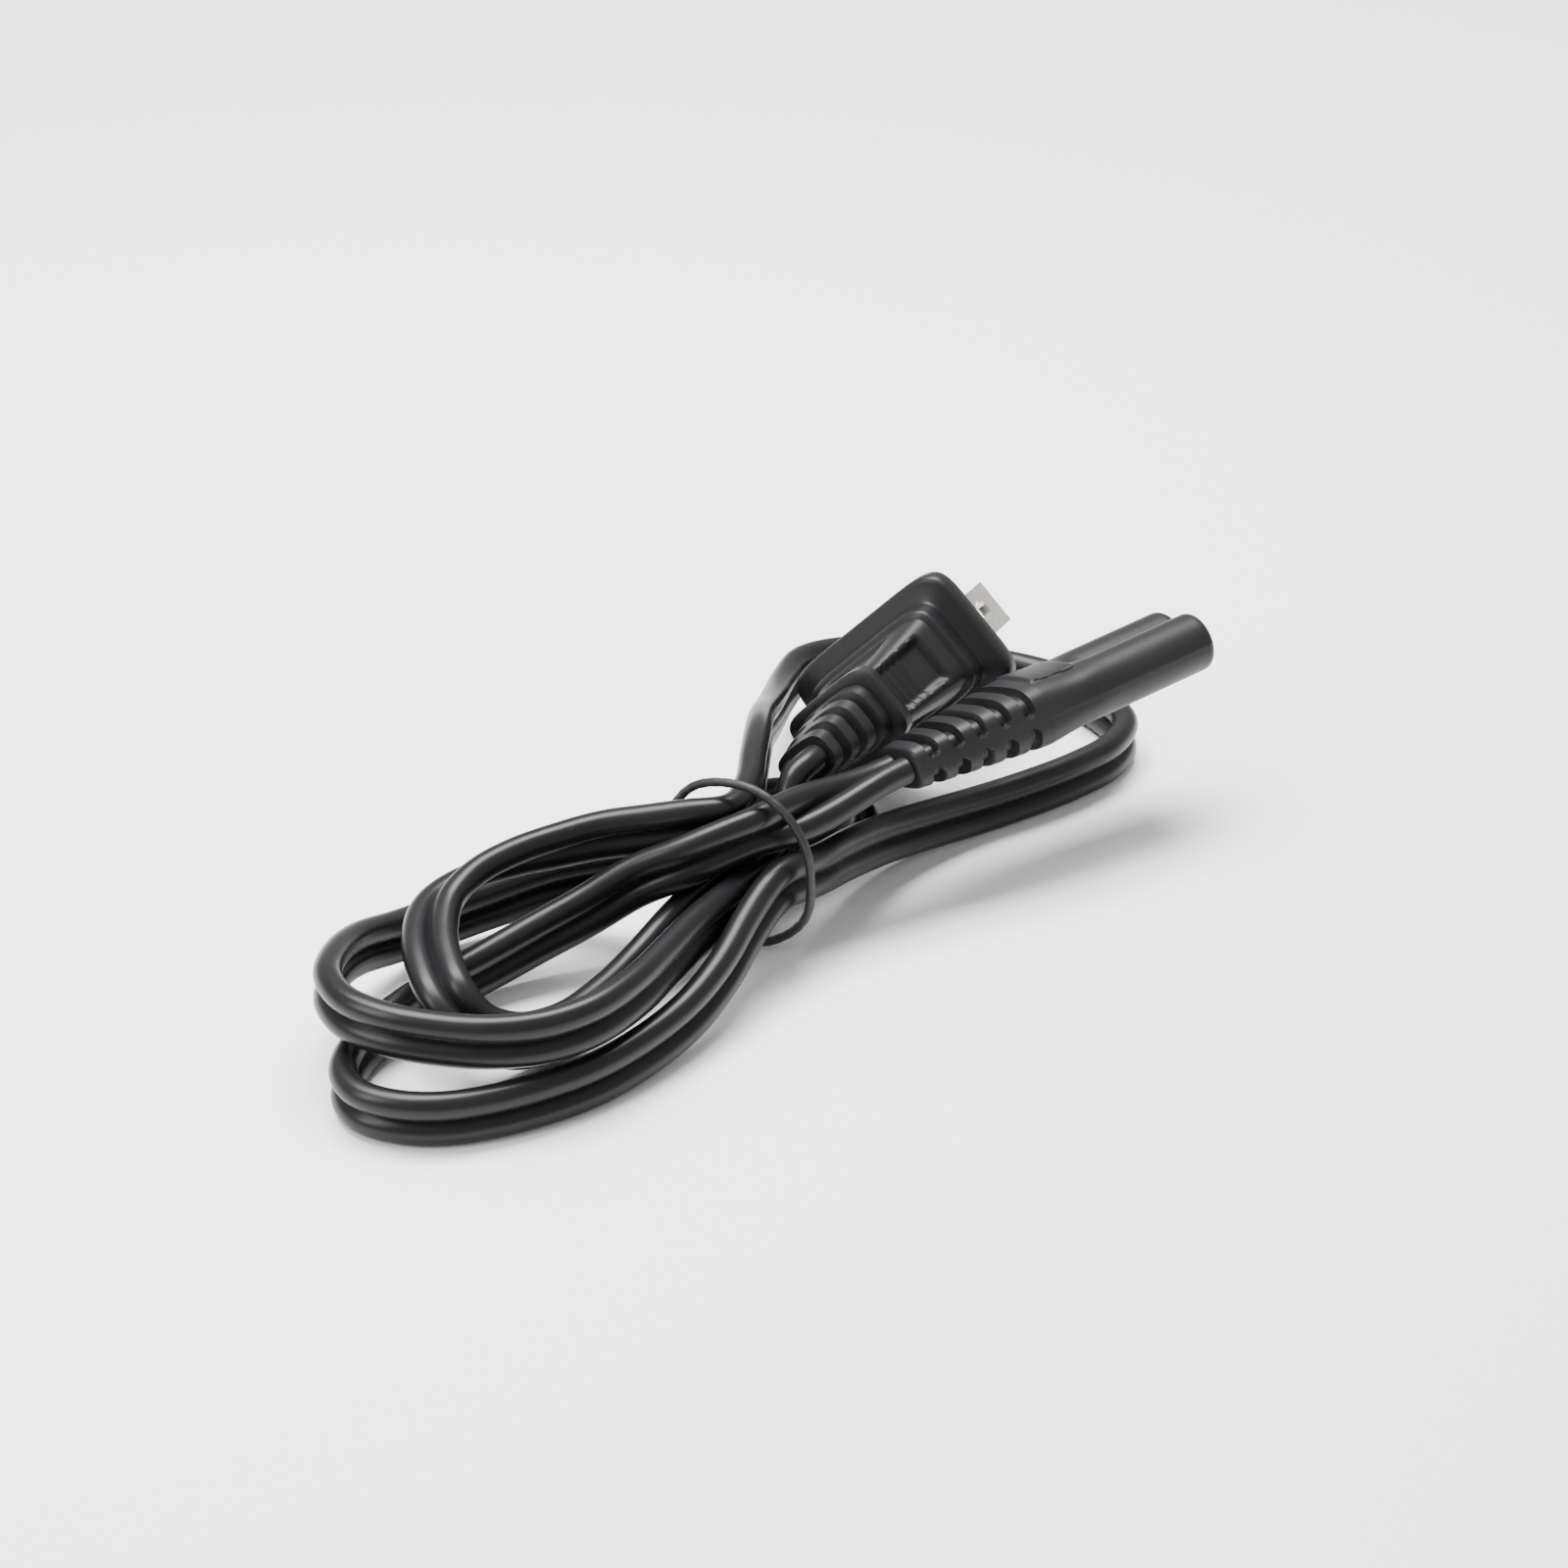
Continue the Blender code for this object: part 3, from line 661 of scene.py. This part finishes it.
def plugGrid(faceX):
    # Superellipse rings along the plug, each with its own width, height and squareness. A ridged recess
    # goes into both narrow faces, and a shallow panel into both broad ones
    look = plugLook
    sides = mouldLook["sides"]
    angle = (np.arange(sides) + 0.5) * 2 * np.pi / sides
    back = faceX - look["flangeThickness"]
    relief = look["relief"]
    collarEnd = relief + look["collarThickness"]
    keys = [
        (0.0, *look["tail"], 3.4),
        (relief, *look["neck"], 3.4),
        (relief + 0.05, look["collar"][0] - 0.7, look["collar"][1] - 0.7, 5.0),
        (relief + 0.35, *look["collar"], 5.4),
        (collarEnd - 0.35, *look["collar"], 5.4),
        (collarEnd, look["collar"][0] - 0.7, look["collar"][1] - 0.7, 5.0),
        (collarEnd + 0.1, look["neck"][0] - 0.2, look["neck"][1] - 0.2, 4.4),
        (collarEnd + 0.6, look["neck"][0], look["neck"][1], 5.0),
        (back - 3.2, look["body"][0] - 1.6, look["body"][1] - 1.4, 6.0),
        (back - 3.0, look["body"][0] - 0.4, look["body"][1] - 0.4, 6.0),
        (back - 2.7, look["body"][0], look["body"][1], 6.0),
        (back - 0.5, look["body"][0] + 0.3, look["body"][1] + 0.3, 6.0),
        (back - 0.1, look["body"][0] + 1.0, look["body"][1] + 1.0, 6.0),
        (back, look["flange"][0] - 1.0, look["flange"][1] - 1.0, 6.4),
        (back + 0.15, look["flange"][0] - 0.35, look["flange"][1] - 0.35, 6.6),
        (back + 0.5, *look["flange"], 6.8),
        (faceX - 0.6, *look["flange"], 6.8),
        (faceX - 0.15, look["flange"][0] - 0.45, look["flange"][1] - 0.45, 6.6),
        (faceX, look["flange"][0] - 1.3, look["flange"][1] - 1.3, 6.4),
    ]
    table = np.array(keys)
    stations = np.unique(np.concatenate([
        table[:, 0],
        np.arange(0.15, relief, 0.15),
        np.arange(collarEnd + 0.6, back - 3.2, 0.18),
        np.arange(back - 2.7, back, 0.4),
    ]))
    width, height, square = (np.interp(stations, table[:, 0], table[:, k])[:, None] for k in (1, 2, 3))
    x = stations[:, None] + 0 * angle[None]
    angles = angle[None] + 0 * x
    shape = boxRadius(angles, width, height, square)
    y, z = shape * np.cos(angles), shape * np.sin(angles)
    groove = ribGrooves(x, z, y, relief, look["ribs"], look["ribDepth"])
    start = collarEnd + 1.3
    recessEnd = start + look["recessLength"]
    recess = ease(x, start, start + 0.3) * (1 - ease(x, recessEnd, recessEnd + 0.3))
    recess = recess * (1 - ease(np.abs(z), 2.8, 3.5)) * (np.abs(y) > width * 0.36)
    pitch = look["ridgePitch"]
    ridges = 0.5 + 0.5 * np.cos(2 * np.pi * (x - start - pitch / 2) / pitch)
    recess = recess * (1.0 - look["ridgeShare"] * ridges * (x < start + look["ridgeRun"]))
    panel = ease(x, collarEnd + 0.9, collarEnd + 1.5) * (1 - ease(x, back - 5.0, back - 4.4))
    panel = panel * (1 - ease(np.abs(y), width * 0.27, width * 0.3)) * (np.abs(z) > height * 0.36)
    shape = shape - groove
    shape = shape - recess / np.clip(np.abs(np.cos(angles)), 0.6, 1.0)
    shape = shape - look["panelDepth"] * panel / np.clip(np.abs(np.sin(angles)), 0.6, 1.0)
    return np.stack([x, shape * np.cos(angles), shape * np.sin(angles)], axis=-1)


def makePlug(material):
    # The moulding from its tail to its front face, with a slot where each blade goes in
    axes = frameAlong(plugTail, plugFace, plugRoll)
    faceX = float(np.linalg.norm(plugFace - plugTail))
    look = plugLook
    piece = putMesh("plugMoulding", placed(plugGrid(faceX), plugTail, axes), material)
    halfThick = look["bladeThickness"] / 2 + look["bladeRoom"]
    halfWide = look["bladeWidth"] / 2 + look["bladeRoom"]
    for side in (-1, 1):
        middle = side * look["bladeSpacing"] / 2
        ring = [(middle - halfThick, -halfWide), (middle + halfThick, -halfWide)]
        ring += [(middle + halfThick, halfWide), (middle - halfThick, halfWide)]
        ends = (faceX - look["bladePocket"], faceX + 1.0)
        grid = np.array([[(reach, a, b) for a, b in ring] for reach in ends])
        drillOut(piece, placed(grid, plugTail, axes))
    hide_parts("plug_body")
    print("plug vertices", len(piece.data.vertices))
    return piece


bandLook = {
    "radius": 0.55,
    "step": 0.1,
    "rings": 260,
    "sides": 16,
    "breath": 0.03,
}


def makeBand(material):
    # A round tube along the closed outline, its thickness breathing a little as elastic cord does
    look = bandLook
    turn = math.radians(bandTurn)
    given = np.array(bandOutline)
    padded = np.vstack([given[-3:], given, given[:3]])
    fine = evenCurve(np.hstack([padded, np.zeros((len(padded), 1))]), look["step"])[:, :2]
    fromFirst = np.linalg.norm(fine - given[0], axis=1)
    start = int(np.argmin(fromFirst[: len(fine) // 3]))
    wellOn = start + len(fine) // 3
    loop = fine[start : wellOn + int(np.argmin(fromFirst[wellOn:]))]
    loop = loop[np.linspace(0, len(loop), look["rings"], endpoint=False).astype(int)]
    line = np.stack([loop[:, 0] * math.sin(turn), loop[:, 0] * math.cos(turn), loop[:, 1]], axis=1)
    line = sum(np.roll(line, places, 0) for places in (2, 1, 0, -1, -2)) / 5
    ahead = unit(np.roll(line, -1, axis=0) - np.roll(line, 1, axis=0))
    square = np.array([math.cos(turn), -math.sin(turn), 0.0])
    out = unit(np.cross(ahead, square))
    angle = np.arange(look["sides"]) * 2 * np.pi / look["sides"]
    breath = 1 - look["breath"] * np.sin(np.arange(len(line)) * 0.9)
    radius = look["radius"] * breath[:, None, None]
    spokes = np.cos(angle)[None, :, None] * square + np.sin(angle)[None, :, None] * out[:, None]
    grid = line[:, None] + spokes * radius + np.array([*bandCentre, 0.0])
    piece = putMesh("tieBand", grid + hankShift, material, closedRows=True)
    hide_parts("tie_band")
    print("band points", len(given), len(line))
    return piece


setCamera()
wear = makeWearGroup()
cordPlastic = blackPlastic("cordPlastic", wear, {
    "dark": (0.0056, 0.0052, 0.006),
    "light": (0.0088, 0.0083, 0.0094),
    "roughness": 0.32,
    "vary": 0.05,
    "scuff": 0.1,
    "bump": 0.12,
    "specular": 0.24,
})
mouldPlastic = blackPlastic("mouldPlastic", wear, {
    "dark": (0.0072, 0.0067, 0.0076),
    "light": (0.012, 0.0113, 0.0125),
    "roughness": 0.44,
    "vary": 0.05,
    "scuff": 0.1,
    "bump": 0.3,
    "specular": 0.25,
})
bandRubber = blackPlastic("bandRubber", wear, {
    "dark": (0.007, 0.0066, 0.007),
    "light": (0.012, 0.0113, 0.012),
    "roughness": 0.55,
    "vary": 0.06,
    "scuff": 0.05,
    "bump": 0.5,
    "specular": 0.4,
})
bladeMetal = platedMetal("bladeMetal", (0.92, 0.9, 0.84))
sleeveMetal = platedMetal("sleeveMetal", (0.8, 0.74, 0.6))
cordPiece, cordLength, cordPath = makeCord(cordPlastic)
plugPiece = makePlug(mouldPlastic)
connectorPiece = makeConnector(mouldPlastic)
makeBand(bandRubber)
for nodeName, metal in (
    ("blade_left", bladeMetal),
    ("blade_right", bladeMetal),
    ("contact_sleeve_left", sleeveMetal),
    ("contact_sleeve_right", sleeveMetal),
):
    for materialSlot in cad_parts[nodeName].material_slots:
        materialSlot.material = metal
setStudio()
print("scene made")
